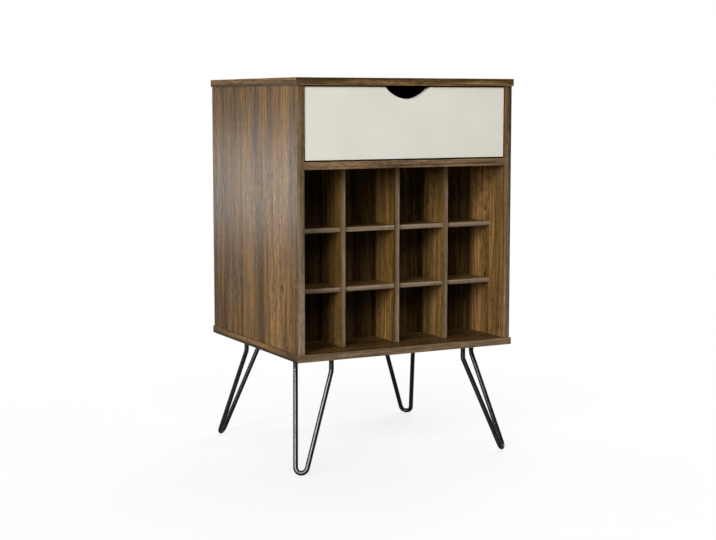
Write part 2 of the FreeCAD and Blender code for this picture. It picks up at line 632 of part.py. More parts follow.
def cabinet_slide(side, sign):
    """The channel on a side panel, with the front roller that the drawer's rail runs on."""
    label = f"{side}_cabinet_rail"
    flange_top = f"({CHANNEL_TOP} + size.rail_sheet)"
    flange_low = f"({TRACK} - size.rail_sheet)"
    channel = rail(label, sign, RAIL_FRONT, [
        (SIDE_INNER, flange_low), (FLANGE_TIP, flange_low),
        (FLANGE_TIP, TRACK), (WEB_FACE, TRACK),
        (WEB_FACE, CHANNEL_TOP), (FLANGE_TIP, CHANNEL_TOP),
        (FLANGE_TIP, flange_top), (SIDE_INNER, flange_top),
    ])
    above_stop = f"({ROLLER_RADIUS} + size.running_gap - size.stop_height)"
    stop_reach = f"sqrt({ROLLER_RADIUS} ^ 2 - {above_stop} ^ 2)"
    stop_rear = f"({DRAWER_AXLE['y']} - {DRAWER_TRAVEL} - {stop_reach} - size.running_gap)"
    stop = box(
        f"{label}_stop", span(sign, FLANGE_TIP, WEB_FACE),
        (f"({stop_rear} - size.stop_length)", stop_rear), (TRACK, f"({TRACK} + size.stop_height)"),
    )
    window_rear = f"({CABINET_AXLE['y']} + {ROLLER_RADIUS} + size.window_gap)"
    window = box(
        f"{label}_window", span(sign, f"({FLANGE_TIP} - {OVERCUT})", WEB_FACE),
        (f"({RAIL_FRONT} - {OVERCUT})", window_rear), (CHANNEL_TOP, f"({flange_top} + {OVERCUT})"),
    )
    pin_end = f"({CABINET_AXLE['far']} - size.pin_head_gap)"
    pin_head = span(sign, f"({pin_end} - size.pin_head_height)", pin_end)
    fastener(
        "cabinet_roller_pins", [label],
        (span(sign, pin_end, SIDE_INNER), CABINET_AXLE["y"], CABINET_AXLE["z"], "size.pin_diameter"),
        (pin_head, CABINET_AXLE["y"], CABINET_AXLE["z"], "size.pin_head_diameter"),
    )
    shank = span(sign, WEB_FACE, f"({SIDE_INNER} + size.rail_screw_depth)")
    head = span(sign, f"({WEB_FACE} - size.rail_screw_head_height)", WEB_FACE)
    rows = (
        f"({RAIL_FRONT} + size.rail_screw_front)",
        f"(({RAIL_FRONT} + {RAIL_REAR}) / 2)",
        f"({RAIL_REAR} - size.rail_screw_rear)",
    )
    for y in rows:
        fastener(
            "cabinet_rail_screws", [label, f"{side}_side_panel"],
            (shank, y, DRAWER_AXLE["z"], "size.rail_screw_diameter"),
            (head, y, DRAWER_AXLE["z"], "size.rail_screw_head_diameter"),
        )
    piece(label, joined(f"{label}_stopped", [channel, stop]), [window])
    roller(f"{side}_cabinet_roller", sign, CABINET_AXLE)


def drawer_slide(side, sign):
    """The angle under a drawer side, with the rear roller that runs in the cabinet's channel."""
    label = f"{side}_drawer_rail"
    runner_top = f"({RUNNER} + size.rail_sheet)"
    runner_tip = f"({WEB_FACE} - size.runner_gap)"
    foot_low = f"({BOX_LOW} - size.rail_sheet)"
    angle = rail(label, sign, FRONT_BACK, [
        (BOX_INNER, foot_low), (LEG_FACE, foot_low),
        (LEG_FACE, RUNNER), (runner_tip, RUNNER),
        (runner_tip, runner_top), (BOX_OUTER, runner_top),
        (BOX_OUTER, BOX_LOW), (BOX_INNER, BOX_LOW),
    ])
    pin_end = f"({DRAWER_AXLE['far']} + size.pin_head_gap)"
    pin_head = span(sign, pin_end, f"({pin_end} + size.pin_head_height)")
    fastener(
        "drawer_roller_pins", [label],
        (span(sign, BOX_OUTER, pin_end), DRAWER_AXLE["y"], DRAWER_AXLE["z"], "size.pin_diameter"),
        (pin_head, DRAWER_AXLE["y"], DRAWER_AXLE["z"], "size.pin_head_diameter"),
    )
    shank = (foot_low, f"({BOX_LOW} + size.rail_screw_depth)")
    head = (f"({foot_low} - size.rail_screw_head_height)", foot_low)
    for y in (f"({FRONT_BACK} + size.rail_screw_front)", f"({DRAWER_REAR} - size.rail_screw_rear)"):
        fastener(
            "drawer_rail_screws", [label, f"drawer_{side}_side"],
            (at(sign, BOX_MIDDLE), y, shank, "size.rail_screw_diameter"),
            (at(sign, BOX_MIDDLE), y, head, "size.rail_screw_head_diameter"),
        )
    piece(label, angle)
    roller(f"{side}_drawer_roller", sign, DRAWER_AXLE)


def fastener_groups():
    for label, solids in groups.items():
        group = doc.addObject("Part::Compound", f"{label}_group")
        group.Links = solids
        piece(label, group)


def check():
    """Stops at the first object that failed, or piece whose shape is missing or broken."""
    for item in doc.Objects:
        if "Invalid" in item.State or "Error" in item.State:
            raise RuntimeError(f"{item.Label} failed: {item.State}")
    for item in pieces:
        if item.Shape.isNull() or not item.Shape.isValid() or not item.Shape.Solids:
            raise RuntimeError(f"{item.Label} has no sound shape")


def write():
    os.makedirs("parts", exist_ok=True)
    for item in pieces:
        item.Shape.exportStep(f"parts/{item.Label}.step")


carcass_joints()
rack_joints()
back_joints()
drawer_joints()
for side, sign in SIDES.items():
    cabinet_slide(side, sign)
    drawer_slide(side, sign)
legs()
carcass()
rack()
drawer()
fastener_groups()
doc.recompute()
check()
write()
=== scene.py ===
import math

import bpy
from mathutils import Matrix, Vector


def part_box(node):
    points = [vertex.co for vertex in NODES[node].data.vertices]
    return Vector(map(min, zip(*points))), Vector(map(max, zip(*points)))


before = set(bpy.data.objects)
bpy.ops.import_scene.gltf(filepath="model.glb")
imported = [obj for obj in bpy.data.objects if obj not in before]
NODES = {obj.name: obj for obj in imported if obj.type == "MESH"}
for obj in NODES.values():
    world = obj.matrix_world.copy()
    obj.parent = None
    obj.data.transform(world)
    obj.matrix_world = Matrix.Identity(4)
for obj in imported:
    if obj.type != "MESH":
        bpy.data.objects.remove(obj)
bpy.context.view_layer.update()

AXES = "xyz"
SIDES = ("left", "right")
CORNERS = ("front_left", "front_right", "rear_left", "rear_right")
LEGS = [corner + "_leg" for corner in CORNERS]
EASED_BOARDS = (
    "top_panel", "bottom_panel", "left_side_panel", "right_side_panel", "drawer_shelf", "left_divider",
    "middle_divider", "right_divider", "lower_rack_shelf", "upper_rack_shelf", "drawer_front",
)

# Lengths are in metres, apart from the camera's lens and sensor.
EDGE_EASE = 0.0005
EASE_SEGMENTS = 2
WELD_REACH = 1e-6
SHARP_ANGLE = math.radians(50.0)
WORN_WIDTH = 0.0012
RUBBED_WIDTH = 0.0011

# The floor's shadow fades between the start and the end, measured from the cabinet's middle.
FLOOR_HALF_SIZE = 15.0
SHADOW_START, SHADOW_END = 0.35, 1.30
SHADOW_SHARE = 0.20
MIRRORED_SHADOW_SHARE = 0.75

# The sky's light on the cabinet, and how it turns from its dim front to its white rear in reflections.
SKY_FILL = 0.05
SKY_TURN = 0.5
SKY_FRONT_IN_MIRRORS = 0.25

CAMERA_PLACE = (-1.44157, -2.75861, 0.74138)
CAMERA_LOOKS_DOWN = math.radians(6.10)
CAMERA_HEADING = math.radians(-27.5755)
LENS_MM = 72.7849
SENSOR_MM = 36.0
LENS_SHIFT = -0.02

# The parts of a noise's range that most of its values lie in, from narrow to wide.
CORE_SPAN = (0.30, 0.70)
MAIN_SPAN = (0.28, 0.72)
FULL_SPAN = (0.25, 0.75)


def shade(red, green, blue):
    return (red, green, blue, 1.0)


WHITE = shade(1.0, 1.0, 1.0)
FLOOR_TONE = shade(0.80, 0.80, 0.80)
FLOOR_BOUNCE_TONE = shade(0.30, 0.30, 0.30)


class Nodes:
    """A node tree in the making: each call adds nodes and returns the socket that carries the result."""

    def __init__(self, tree):
        self.tree = tree

    def feed(self, socket, value):
        if isinstance(value, bpy.types.NodeSocket):
            self.tree.links.new(value, socket)
        else:
            socket.default_value = value

    def add(self, kind, inputs=None, **settings):
        node = self.tree.nodes.new(kind)
        for name, value in settings.items():
            setattr(node, name, value)
        for key, value in (inputs or {}).items():
            self.feed(node.inputs[key], value)
        return node

    def math(self, operation, a, b=0.0, clamp=False):
        return self.add("ShaderNodeMath", {0: a, 1: b}, operation=operation, use_clamp=clamp).outputs[0]

    def plus(self, a, b):
        return self.math("ADD", a, b)

    def times(self, a, b):
        return self.math("MULTIPLY", a, b)

    def least(self, a, b):
        return self.math("MINIMUM", a, b)

    def largest(self, a, b):
        return self.math("MAXIMUM", a, b)

    def split(self, vector):
        return self.add("ShaderNodeSeparateXYZ", {0: vector}).outputs

    def join(self, x, y, z):
        return self.add("ShaderNodeCombineXYZ", {0: x, 1: y, 2: z}).outputs[0]

    def stretch(self, vector, scale):
        return self.add("ShaderNodeVectorMath", {0: vector, 1: scale}, operation="MULTIPLY").outputs[0]

    def noise(self, vector, scale=1.0, detail=2.0, roughness=0.5):
        inputs = {"Vector": vector, "Scale": scale, "Detail": detail, "Roughness": roughness}
        return self.add("ShaderNodeTexNoise", inputs).outputs[0]

    def remap(self, value, low, high, to_low=0.0, to_high=1.0):
        inputs = {0: value, 1: low, 2: high, 3: to_low, 4: to_high}
        return self.add("ShaderNodeMapRange", inputs, interpolation_type="SMOOTHSTEP").outputs[0]

    def swing(self, noise, low=0.0, high=1.0, span=CORE_SPAN):
        """Spreads the middle of a noise's range over low to high."""
        return self.remap(noise, *span, low, high)

    def crests(self, noise, foot, top):
        """1 where a noise rises above the top and 0 where it stays below the foot."""
        return self.remap(noise, foot, top)

    def fade(self, share, bare, covered):
        """Goes from bare, where a mask's share is 0, to covered, where it is 1."""
        return self.remap(share, 0.0, 1.0, bare, covered)

    def ramp(self, value, stops):
        node = self.add("ShaderNodeValToRGB", {0: value})
        elements = node.color_ramp.elements
        while len(elements) < len(stops):
            elements.new(1.0)
        for element, (position, colour) in zip(elements, stops):
            element.position = position
            element.color = colour
        return node.outputs[0]

    def mix(self, factor, a, b):
        return self.add("ShaderNodeMix", {0: factor, 6: a, 7: b}, data_type="RGBA").outputs[2]

    def dim(self, colour, factor):
        return self.add("ShaderNodeVectorMath", {0: colour, "Scale": factor}, operation="SCALE").outputs[0]

    def spot(self, across, along, centre, half_width, half_length):
        """A soft oval patch: 1 in its middle, fading outwards."""
        u = self.times(self.plus(across, -centre[0]), 1.0 / half_width)
        v = self.times(self.plus(along, -centre[1]), 1.0 / half_length)
        reach = self.plus(self.times(u, u), self.times(v, v))
        return self.math("EXPONENT", self.times(reach, -1.0))


class Finish(Nodes):
    """A material in the making, which knows the place on the object in metres and where its faces look."""

    def __init__(self, name):
        self.material = bpy.data.materials.new(name)
        self.material.use_nodes = True
        super().__init__(self.material.node_tree)
        self.tree.nodes.clear()
        self.output = self.add("ShaderNodeOutputMaterial")
        coordinates = self.add("ShaderNodeTexCoord").outputs
        self.place = coordinates["Object"]
        self.normal = coordinates["Normal"]

    def rim(self, node, width):
        """1 on the outer edges of a box-shaped board, fading to 0 over the width."""
        low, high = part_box(node)
        gaps = []
        for value, a, b in zip(self.split(self.place), low, high):
            gaps.append(self.least(self.plus(value, -a), self.math("SUBTRACT", b, value)))
        first = self.least(gaps[0], gaps[1])
        second = self.least(self.largest(gaps[0], gaps[1]), gaps[2])
        return self.remap(self.largest(first, second), 0.0, width, 1.0, 0.0)

    def bump(self, height, distance, strength):
        inputs = {"Height": height, "Distance": distance, "Strength": strength}
        return self.add("ShaderNodeBump", inputs).outputs[0]

    def surface(self, inputs):
        """Closes the material with its shader. The values in inputs go straight to the shader's sockets."""
        shader = self.add("ShaderNodeBsdfPrincipled", inputs)
        self.feed(self.output.inputs["Surface"], shader.outputs[0])
        return self.material


def dress(material, *names):
    for name in names:
        slots = NODES[name].data.materials
        slots.clear()
        slots.append(material)


# The print's tones from its dark to its pale bands.
WALNUT_TONES = (
    (0.00, shade(0.060, 0.032, 0.0098)),
    (0.28, shade(0.092, 0.049, 0.0147)),
    (0.50, shade(0.122, 0.065, 0.0200)),
    (0.74, shade(0.150, 0.081, 0.0260)),
    (1.00, shade(0.165, 0.092, 0.0325)),
)
# A darker copy of the print for the rack's back wall, as painted shade in the compartments.
SHADED_BACK_TONES = (
    (0.00, shade(0.013, 0.0070, 0.0022)),
    (0.28, shade(0.026, 0.0145, 0.0042)),
    (0.50, shade(0.038, 0.0215, 0.0068)),
    (0.74, shade(0.052, 0.0300, 0.0100)),
    (1.00, shade(0.060, 0.0370, 0.0135)),
)
OLIVE_TONES = (
    (0.00, shade(0.032, 0.016, 0.004)),
    (0.28, shade(0.062, 0.033, 0.008)),
    (0.50, shade(0.092, 0.050, 0.013)),
    (0.74, shade(0.120, 0.066, 0.018)),
    (1.00, shade(0.138, 0.082, 0.028)),
)
BAND_TONE = shade(0.192, 0.142, 0.092)
SHELF_BAND_TONE = shade(0.262, 0.190, 0.128)
TOP_EDGE_TONE = shade(0.126, 0.074, 0.032)
RAIL_EDGE_TONE = shade(0.168, 0.104, 0.055)
STREAK_TONE = shade(0.050, 0.039, 0.030)
UMBER_TONE = shade(0.056, 0.030, 0.0105)
PLUM_TONE = shade(0.066, 0.034, 0.022)
WARM_TONE = shade(0.190, 0.103, 0.036)
KNOT_TONE = shade(0.016, 0.008, 0.004)

# The print's layers. fine and slow are how often a layer changes in a metre across and along the grain.
BANDS = {"fine": 28.0, "slow": 1.0, "detail": 3.0, "roughness": 0.55}
FLOW = {"fine": 95.0, "slow": 4.0, "detail": 2.0, "roughness": 0.6, "shift": 13.0}
GROWTH = {"fine": 270.0, "slow": 9.0, "detail": 4.0, "roughness": 0.70, "shift": 9.0}
STREAKS = {"fine": 150.0, "slow": 5.0, "detail": 2.0, "shift": 17.0}
DASHES = {"fine": 150.0, "slow": 70.0, "detail": 2.0, "shift": 21.0}
DASHED_PARTS = {"fine": 20.0, "slow": 5.0, "detail": 1.0, "shift": 29.0}
FIBRE = {"fine": 1300.0, "slow": 24.0, "detail": 1.0, "shift": 3.0}
PORES = {"fine": 1900.0, "slow": 52.0, "detail": 0.0, "shift": 7.0}
SAW_MARKS = {"fine": 14.0, "slow": 230.0, "detail": 1.0, "shift": 5.0}
SAWN_PARTS = {"fine": 16.0, "slow": 9.0}
DRIFT_SCALE = (8.0, 8.0, 3.5)
RIPPLE_SCALE = (45.0, 45.0, 8.0)
RIPPLE_BEND = 0.0022
EDGE_LAYER_SCALE = 260.0
EDGE_LENGTH_SCALE = 6.0
DASHED_SPAN = (0.35, 0.65)

# What the layers do to the print's brightness.
FLOW_LIGHT = (0.76, 1.24)
GROWTH_LIGHT = (0.52, 1.48)
FIBRE_LIGHT = (0.86, 1.12)
STREAK_LIGHT = 0.60
PORE_LIGHT = 0.66
DASH_DEPTH = 0.30
SAW_DEPTH = 0.45

# How far a patch sways with the bands, for its length, and how strongly a knot pulls the grain in.
PATCH_SWAY = 0.35
KNOT_PULL = 0.75

# Limits of a face's direction, between which it blends into an end, a narrow edge or the front.
END_TURN = (0.6, 0.8)
EDGE_TURN = (0.5, 0.8)
FRONT_TURN = (-0.8, -0.5)

# Lasting bands and marks of the print, and on the dividers painted light, as places on the board.
# Each has its centre as (y, z), its half width, its half length, its tone and its strength.
SIDE_PATCHES = (
    ((0.235, 0.500), 0.120, 0.900, UMBER_TONE, 0.60),
    ((0.215, 0.270), 0.055, 0.120, UMBER_TONE, 0.60),
    ((0.036, 0.520), 0.014, 0.700, WARM_TONE, 0.40),
    ((-0.010, 0.600), 0.024, 0.450, UMBER_TONE, 0.52),
    ((-0.117, 0.480), 0.024, 0.700, WARM_TONE, 0.60),
    ((-0.196, 0.500), 0.024, 0.700, UMBER_TONE, 0.55),
    ((-0.024, 0.735), 0.012, 0.150, STREAK_TONE, 0.75),
    ((-0.192, 0.645), 0.009, 0.110, STREAK_TONE, 0.55),
    ((0.099, 0.365), 0.018, 0.065, PLUM_TONE, 0.80),
    ((-0.068, 0.293), 0.005, 0.022, STREAK_TONE, 0.85),
)
# Painted light on the dividers' compartment walls: a paler lowest row and a paler strip towards the rear.
DIVIDER_PAINTED_LIGHT = (
    ((-0.120, 0.260), 0.300, 0.090, WARM_TONE, 0.20),
    ((-0.082, 0.420), 0.028, 0.900, WARM_TONE, 0.50),
)
# Each knot has its centre as (y, z) and its radius.
SIDE_KNOTS = (((-0.142, 0.371), 0.0036), ((-0.142, 0.512), 0.0026))


def walnut(
    node, along, seed, tones=WALNUT_TONES, level=1.0, specular=0.02, bend=0.014,
    band=BAND_TONE, band_share=(0.0, 0.0), front_painted_light=(1.0, 1.0), front_painted_shade=1.0, end_painted_light=(1.0, 1.0),
    lines=0.34, calm=0.0, patches=(), knots=(),
):
    """Finishes a board in walnut-print laminate, whose grain runs along one axis.

    level scales the print's brightness, and on some boards it is painted light or shade for the light their
    faces get. bend is how far the grain wanders. band is the tone of the front edge's banding, and band_share
    is how much it covers at the low and the high end of the board. front_painted_light and end_painted_light
    are painted light
    and shade: the brightness of the front edge and of the ends, at the low and the high side of the
    thickness.
    front_painted_shade is painted shade: what the front edge keeps of it at the high end of the high side.
    lines is the contrast of the fine lines on the narrow faces, and calm is how much of the print the banding
    leaves out.
    """
    f = Finish("walnut_" + node)
    low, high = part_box(node)
    long = AXES.index(along)
    wide, thin = sorted((i for i in range(3) if i != long), key=lambda i: low[i] - high[i])
    place, normal = f.split(f.place), f.split(f.normal)
    on_end = f.remap(f.math("ABSOLUTE", normal[long]), *END_TURN)
    on_edge = f.remap(f.math("ABSOLUTE", normal[thin]), *EDGE_TURN, 1.0, 0.0)
    on_front = f.remap(normal[1], *FRONT_TURN, 1.0, 0.0)

    # On the ends the print is turned, so that its lines run along the end.
    face = f.join(place[wide], place[thin], place[long])
    end = f.join(place[thin], place[long], place[wide])
    spread = f.add("ShaderNodeMix", {0: on_end, 4: face, 5: end}, data_type="VECTOR").outputs[1]
    across, depth, length = f.split(spread)
    drift = f.noise(f.stretch(spread, DRIFT_SCALE), detail=1.0)
    ripple = f.noise(f.stretch(spread, RIPPLE_SCALE), detail=1.0)
    bent = f.plus(across, f.times(f.plus(drift, -0.5), bend))
    bent = f.plus(bent, f.times(f.plus(ripple, -0.5), RIPPLE_BEND))
    for centre, radius in knots:
        pull = f.spot(across, length, centre, 4.0 * radius, 7.0 * radius)
        bent = f.plus(bent, f.times(f.times(f.plus(across, -centre[0]), -KNOT_PULL), pull))

    def grain(fine, slow, detail=2.0, roughness=0.5, shift=0.0):
        u = f.plus(f.times(bent, fine), seed + shift)
        v = f.times(depth, fine)
        w = f.plus(f.times(length, slow), seed)
        return f.noise(f.join(u, v, w), detail=detail, roughness=roughness)

    bands = grain(**BANDS)
    colour = f.ramp(f.swing(bands, span=MAIN_SPAN), tones)
    for centre, half_width, half_length, tone, strength in patches:
        sway = f.plus(length, f.times(f.plus(bands, -0.5), PATCH_SWAY * half_length))
        patch = f.spot(bent, sway, centre, half_width, half_length)
        colour = f.mix(f.times(patch, strength), colour, tone)
    colour = f.dim(colour, level)
    banding = f.remap(place[long], low[long], high[long], *band_share)
    colour = f.mix(f.times(on_front, banding), colour, band)

    growth = grain(**GROWTH)
    fibre = grain(**FIBRE)
    pore = f.crests(grain(**PORES), 0.64, 0.76)
    streak = f.crests(grain(**STREAKS), 0.57, 0.70)
    dashed = f.swing(grain(**DASHED_PARTS), 0.25, 1.0, DASHED_SPAN)
    dash = f.times(f.swing(grain(**DASHES), -DASH_DEPTH, DASH_DEPTH), dashed)
    saw = f.times(f.plus(grain(**SAW_MARKS), -0.5), f.crests(grain(**SAWN_PARTS), 0.48, 0.62))
    tone = f.swing(grain(**FLOW), *FLOW_LIGHT)
    tone = f.times(tone, f.swing(growth, *GROWTH_LIGHT, MAIN_SPAN))
    tone = f.times(tone, f.fade(streak, 1.0, STREAK_LIGHT))
    tone = f.times(tone, f.plus(1.0, dash))
    tone = f.times(tone, f.swing(fibre, *FIBRE_LIGHT, FULL_SPAN))
    tone = f.times(tone, f.fade(pore, 1.0, PORE_LIGHT))
    tone = f.plus(tone, f.times(saw, SAW_DEPTH))

    # The narrow faces: fine lines along the edge, the calmer banding in front, and painted light and shade
    # across their thickness.
    along_edge = f.times(f.plus(place[long], place[wide]), EDGE_LENGTH_SCALE)
    through = f.times(place[thin], EDGE_LAYER_SCALE)
    layers = f.noise(f.join(through, along_edge, seed), detail=2.0, roughness=0.6)
    tone = f.times(tone, f.plus(1.0, f.times(on_edge, f.swing(layers, -lines, lines))))
    tone = f.plus(1.0, f.times(f.plus(tone, -1.0), f.fade(on_front, 1.0, 1.0 - calm)))
    for share, (light_low, light_high) in ((on_front, front_painted_light), (on_end, end_painted_light)):
        change = f.remap(place[thin], low[thin], high[thin], light_low - 1.0, light_high - 1.0)
        tone = f.times(tone, f.plus(1.0, f.times(share, change)))
    # Painted shade on the front edge, deepening towards the high end of its high side.
    far = f.times(f.remap(place[thin], low[thin], high[thin]), f.remap(place[long], low[long], high[long]))
    tone = f.times(tone, f.plus(1.0, f.times(f.times(on_front, far), front_painted_shade - 1.0)))
    colour = f.dim(colour, tone)

    for centre, radius in knots:
        core = f.spot(across, length, centre, radius, 1.5 * radius)
        colour = f.mix(f.math("MULTIPLY", core, 1.25, clamp=True), colour, KNOT_TONE)
    worn = f.times(f.rim(node, WORN_WIDTH), f.swing(ripple, 0.10, 0.35))
    colour = f.mix(worn, colour, WARM_TONE)
    height = f.plus(f.plus(f.times(fibre, 0.6), f.times(growth, 0.5)), f.times(pore, -0.8))
    dress(f.surface({
        "Base Color": colour,
        "Roughness": f.plus(f.swing(fibre, 0.24, 0.31, FULL_SPAN), f.times(pore, 0.15)),
        "Specular IOR Level": specular,
        "Normal": f.bump(height, distance=0.00012, strength=0.6),
    }), node)


def pale_front():
    """Warm off-white lacquer with a faint roller texture and slightly rubbed edges."""
    f = Finish("pale_front")
    cloud = f.noise(f.place, scale=9.0, detail=3.0)
    stipple = f.noise(f.place, scale=1100.0, detail=2.0)
    speck = f.crests(f.noise(f.place, scale=420.0, detail=0.0), 0.80, 0.84)
    rubbed = f.times(f.rim("drawer_front", RUBBED_WIDTH), 0.35)
    colour = f.mix(f.swing(cloud), shade(0.630, 0.607, 0.538), shade(0.658, 0.635, 0.566))
    colour = f.mix(f.times(speck, 0.18), colour, shade(0.50, 0.46, 0.38))
    colour = f.mix(rubbed, colour, shade(0.78, 0.765, 0.71))
    return f.surface({
        "Base Color": colour,
        "Roughness": f.swing(cloud, 0.36, 0.46),
        "Specular IOR Level": 0.45,
        "Normal": f.bump(stipple, distance=0.00005, strength=0.5),
    })


def drawer_board():
    """Pale melamine: a fine paper tooth with a soft linen unevenness."""
    f = Finish("drawer_board")
    tooth = f.noise(f.stretch(f.place, (900.0, 300.0, 900.0)), detail=2.0)
    cloud = f.noise(f.place, scale=14.0, detail=3.0)
    colour = f.mix(f.swing(cloud), shade(0.60, 0.575, 0.52), shade(0.68, 0.655, 0.60))
    colour = f.dim(colour, f.swing(tooth, 0.95, 1.03, FULL_SPAN))
    return f.surface({
        "Base Color": colour,
        "Roughness": f.swing(tooth, 0.48, 0.62, FULL_SPAN),
        "Specular IOR Level": 0.4,
        "Normal": f.bump(tooth, distance=0.00005, strength=0.6),
    })


def rear_hardboard():
    """Pressed brown hardboard: matted fibres, dark flecks and a waxy, uneven face."""
    f = Finish("rear_hardboard")
    mat = f.noise(f.place, scale=420.0, detail=4.0, roughness=0.7)
    strands = f.noise(f.stretch(f.place, (150.0, 150.0, 1500.0)), detail=2.0)
    threads = f.noise(f.stretch(f.place, (1500.0, 150.0, 150.0)), detail=2.0)
    cloud = f.noise(f.place, scale=7.0, detail=3.0)
    fleck = f.crests(f.noise(f.place, scale=700.0, detail=1.0), 0.68, 0.76)
    colour = f.mix(f.swing(mat, span=MAIN_SPAN), shade(0.135, 0.078, 0.036), shade(0.265, 0.170, 0.090))
    colour = f.dim(colour, f.remap(f.largest(strands, threads), 0.40, 0.80, 0.88, 1.18))
    colour = f.dim(colour, f.swing(cloud, 0.88, 1.12))
    colour = f.mix(f.times(fleck, 0.6), colour, shade(0.05, 0.027, 0.012))
    return f.surface({
        "Base Color": colour,
        "Roughness": f.swing(mat, 0.55, 0.78, MAIN_SPAN),
        "Specular IOR Level": 0.3,
        "Normal": f.bump(f.plus(mat, strands), distance=0.0001, strength=0.7),
    })


def black_steel():
    """Black gloss paint over bent rod: a faint orange peel, small scuffs and a dulled foot."""
    f = Finish("black_steel")
    peel = f.noise(f.place, scale=650.0, detail=1.0)
    cloud = f.noise(f.place, scale=60.0, detail=2.0)
    scuff = f.crests(f.noise(f.stretch(f.place, (700.0, 700.0, 90.0)), detail=2.0), 0.66, 0.74)
    foot = f.remap(f.split(f.place)[2], 0.001, 0.012, 1.0, 0.0)
    scuffed = f.times(scuff, f.plus(0.12, f.times(foot, 0.45)))
    colour = f.mix(f.swing(cloud), shade(0.0024, 0.0024, 0.0026), shade(0.0044, 0.0044, 0.0047))
    colour = f.mix(scuffed, colour, shade(0.10, 0.098, 0.094))
    return f.surface({
        "Base Color": colour,
        "Roughness": f.plus(f.swing(cloud, 0.34, 0.39), f.times(foot, 0.10)),
        "Specular IOR Level": 0.12,
        "Normal": f.bump(peel, distance=0.00001, strength=0.03),
    })


def metal(name, dark, pale, rough, scale, metallic=1.0):
    """Plated or cast metal with a grain that shifts its colour and gloss."""
    f = Finish(name)
    skin = f.noise(f.place, scale=scale, detail=3.0, roughness=0.6)
    cloud = f.noise(f.place, scale=90.0, detail=2.0)
    colour = f.mix(f.swing(skin, span=MAIN_SPAN), dark, pale)
    colour = f.dim(colour, f.swing(cloud, 0.86, 1.10))
    return f.surface({
        "Base Color": colour,
        "Metallic": metallic,
        "Roughness": f.swing(skin, rough - 0.08, rough + 0.08, MAIN_SPAN),
        "Normal": f.bump(skin, distance=0.00005, strength=0.5),
    })


def rail_steel():
    """Pale powder coat on bent sheet steel, with a fine pebble and rubbed running faces."""
    f = Finish("rail_steel")
    pebble = f.noise(f.place, scale=1600.0, detail=1.0)
    cloud = f.noise(f.place, scale=30.0, detail=2.0)
    rub = f.crests(f.noise(f.stretch(f.place, (900.0, 25.0, 900.0)), detail=2.0), 0.64, 0.74)
    colour = f.mix(f.swing(cloud), shade(0.69, 0.69, 0.67), shade(0.77, 0.77, 0.745))
    colour = f.mix(f.times(rub, 0.35), colour, shade(0.42, 0.42, 0.41))
    return f.surface({
        "Base Color": colour,
        "Roughness": f.swing(pebble, 0.34, 0.48, FULL_SPAN),
        "Specular IOR Level": 0.5,
        "Normal": f.bump(pebble, distance=0.00004, strength=0.6),
    })


def roller_plastic():
    """Turned nylon: a slightly waxy white with fine running marks."""
    f = Finish("roller_plastic")
    marks = f.noise(f.stretch(f.place, (2600.0, 160.0, 160.0)), detail=1.0)
    cloud = f.noise(f.place, scale=120.0, detail=2.0)
    colour = f.mix(f.swing(cloud), shade(0.63, 0.63, 0.60), shade(0.72, 0.72, 0.69))
    colour = f.dim(colour, f.swing(marks, 0.93, 1.03, FULL_SPAN))
    return f.surface({
        "Base Color": colour,
        "Roughness": f.swing(marks, 0.32, 0.46, FULL_SPAN),
        "Subsurface Weight": 0.12,
        "Subsurface Scale": 0.002,
        "Normal": f.bump(marks, distance=0.00003, strength=0.5),
    })


def dowel_wood():
    """Plain beech with short dark rays."""
    f = Finish("dowel_wood")
    ray = f.noise(f.stretch(f.place, (700.0, 700.0, 260.0)), detail=2.0)
    grain = f.noise(f.place, scale=160.0, detail=3.0)
    colour = f.mix(f.swing(grain, span=MAIN_SPAN), shade(0.42, 0.27, 0.14), shade(0.56, 0.39, 0.22))
    colour = f.mix(f.times(f.crests(ray, 0.62, 0.70), 0.5), colour, shade(0.26, 0.15, 0.07))
    return f.surface({
        "Base Color": colour,
        "Roughness": f.swing(ray, 0.55, 0.70, FULL_SPAN),
        "Normal": f.bump(ray, distance=0.00006, strength=0.6),
    })


def smooth_shading():
    """Geometry nodes that mark every face smooth, so that the weighted normals round only the eased edges."""
    group = bpy.data.node_groups.new("all_smooth", "GeometryNodeTree")
    group.interface.new_socket("Geometry", in_out="INPUT", socket_type="NodeSocketGeometry")
    group.interface.new_socket("Geometry", in_out="OUTPUT", socket_type="NodeSocketGeometry")
    start, end = group.nodes.new("NodeGroupInput"), group.nodes.new("NodeGroupOutput")
    smooth = group.nodes.new("GeometryNodeSetShadeSmooth")
    group.links.new(start.outputs[0], smooth.inputs["Geometry"])
    group.links.new(smooth.outputs[0], end.inputs[0])
    return group


def ease_edges(names):
    """Takes the knife edge off boards, as sanding and edge banding do."""
    group = smooth_shading()
    for name in names:
        piece = NODES[name]
        weld = piece.modifiers.new("weld", "WELD")
        weld.merge_threshold = WELD_REACH
        piece.modifiers.new("smooth", "NODES").node_group = group
        bevel = piece.modifiers.new("bevel", "BEVEL")
        bevel.width = EDGE_EASE
        bevel.segments = EASE_SEGMENTS
        bevel.limit_method = "ANGLE"
        bevel.angle_limit = SHARP_ANGLE
        normals = piece.modifiers.new("normals", "WEIGHTED_NORMAL")
        normals.weight = 100
        normals.keep_sharp = False


